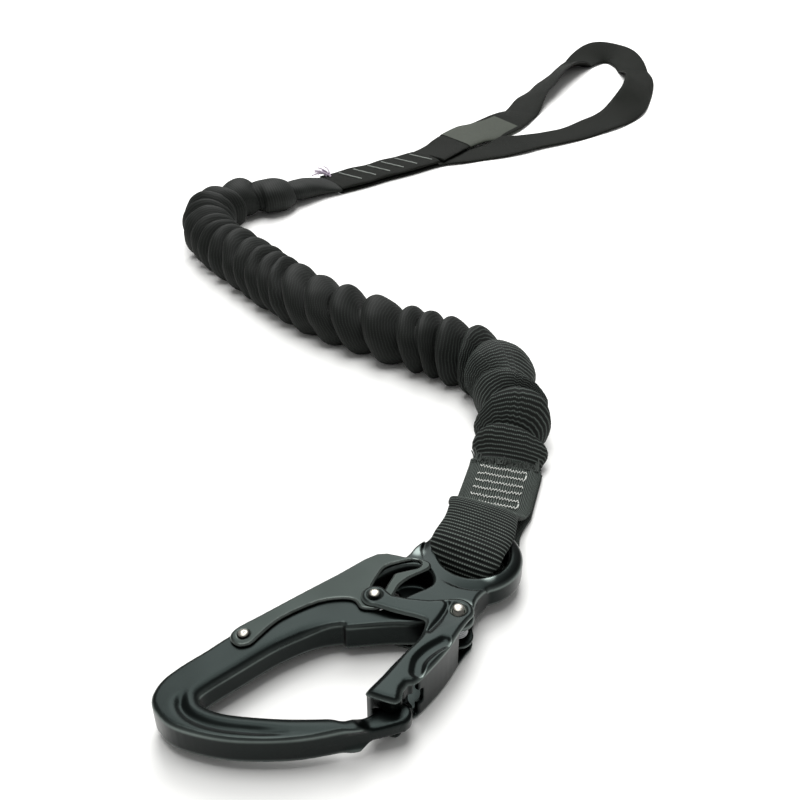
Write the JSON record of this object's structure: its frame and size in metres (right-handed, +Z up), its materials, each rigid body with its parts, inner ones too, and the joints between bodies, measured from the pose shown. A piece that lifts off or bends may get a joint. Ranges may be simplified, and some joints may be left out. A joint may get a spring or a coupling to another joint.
{
  "type": "shock absorbing lanyard",
  "caption": "Double-action snap hook sewn to a gathered elastic lanyard of tubular webbing that ends in a sewn loop with a blank label",
  "frame": {"origin": "middle of the hook's own box, on the surface that it lies on; the webbing is left out", "axes": "+X from the hook's nose to its eye, +Y towards the squeeze lever, +Z up from the surface"},
  "size_m": [0.6557, 0.5698, 0.026],
  "materials": {
    "black_anodised_aluminium": "satin hard anodised",
    "black_anodised_aluminium_gate": "satin hard anodised",
    "black_anodised_aluminium_lever": "satin hard anodised, slightly greyer",
    "stainless_rivet": "polished dome",
    "spring_steel": "drawn wire",
    "black_nylon_webbing": "tubular nylon weave",
    "gathered_nylon_sheath": "tubular nylon weave, gathered",
    "elastic_rubber": "matt",
    "white_bar_tack_thread": "sewing thread",
    "grey_bar_tack_thread": "sewing thread",
    "loose_thread": "sewing thread",
    "woven_label": "plain woven label"
  },
  "bodies": {
    "near_webbing": {"eye_loop": "black_nylon_webbing", "eye_tail": "black_nylon_webbing", "eye_bar_tacks": "white_bar_tack_thread", "hook_end_lap": "black_nylon_webbing", "shock_sheath": "gathered_nylon_sheath", "elastic_core": "elastic_rubber"},
    "hook": {"hook_body": "black_anodised_aluminium", "gate_pivot_rivet": "stainless_rivet", "lever_pivot_rivet": "stainless_rivet", "gate_spring": "spring_steel", "lever_spring": "spring_steel"},
    "gate": {"gate": "black_anodised_aluminium_gate", "guide_pin": "stainless_rivet"},
    "lever": {"lever": "black_anodised_aluminium_lever"},
    "far_webbing": {"far_lap_lower": "black_nylon_webbing", "far_lap_upper": "black_nylon_webbing", "far_bar_tacks": "grey_bar_tack_thread", "thread_tail": "loose_thread", "end_loop": "black_nylon_webbing", "id_label": "woven_label"}
  },
  "joints": [
    {"name": "hook_swing", "type": "hinge", "parent": "near_webbing", "child": "hook", "pos_m": [0.05953, 0.02345, 0.0084], "axis": [-0.6691, 0.7431, 0], "range_deg": [0, 20]},
    {"name": "gate_swing", "type": "hinge", "parent": "hook", "child": "gate", "pos_m": [0.02785, -0.00745, 0.0084], "axis": [0, 0, -1], "range_deg": [0, 27], "stiffness_Nm_per_rad": 0.3, "springref_deg": -28.65, "deforming": ["gate_spring"]},
    {"name": "lever_press", "type": "hinge", "parent": "hook", "child": "lever", "pos_m": [-0.03305, 0.01995, 0.0084], "axis": [0, 0, -1], "range_deg": [0, 1.85], "stiffness_Nm_per_rad": 3, "springref_deg": -2.86, "deforming": ["lever_spring"]},
    {"name": "shock_stretch", "type": "slide", "parent": "near_webbing", "child": "far_webbing", "axis": [0.273, 0.962, 0], "range_m": [0, 0.3], "stiffness_N_per_m": 250, "deforming": ["shock_sheath", "elastic_core"]}
  ],
  "couplings": [
    {"joint": "lever_press", "follows": "gate_swing", "ratio": 0.066667}
  ]
}
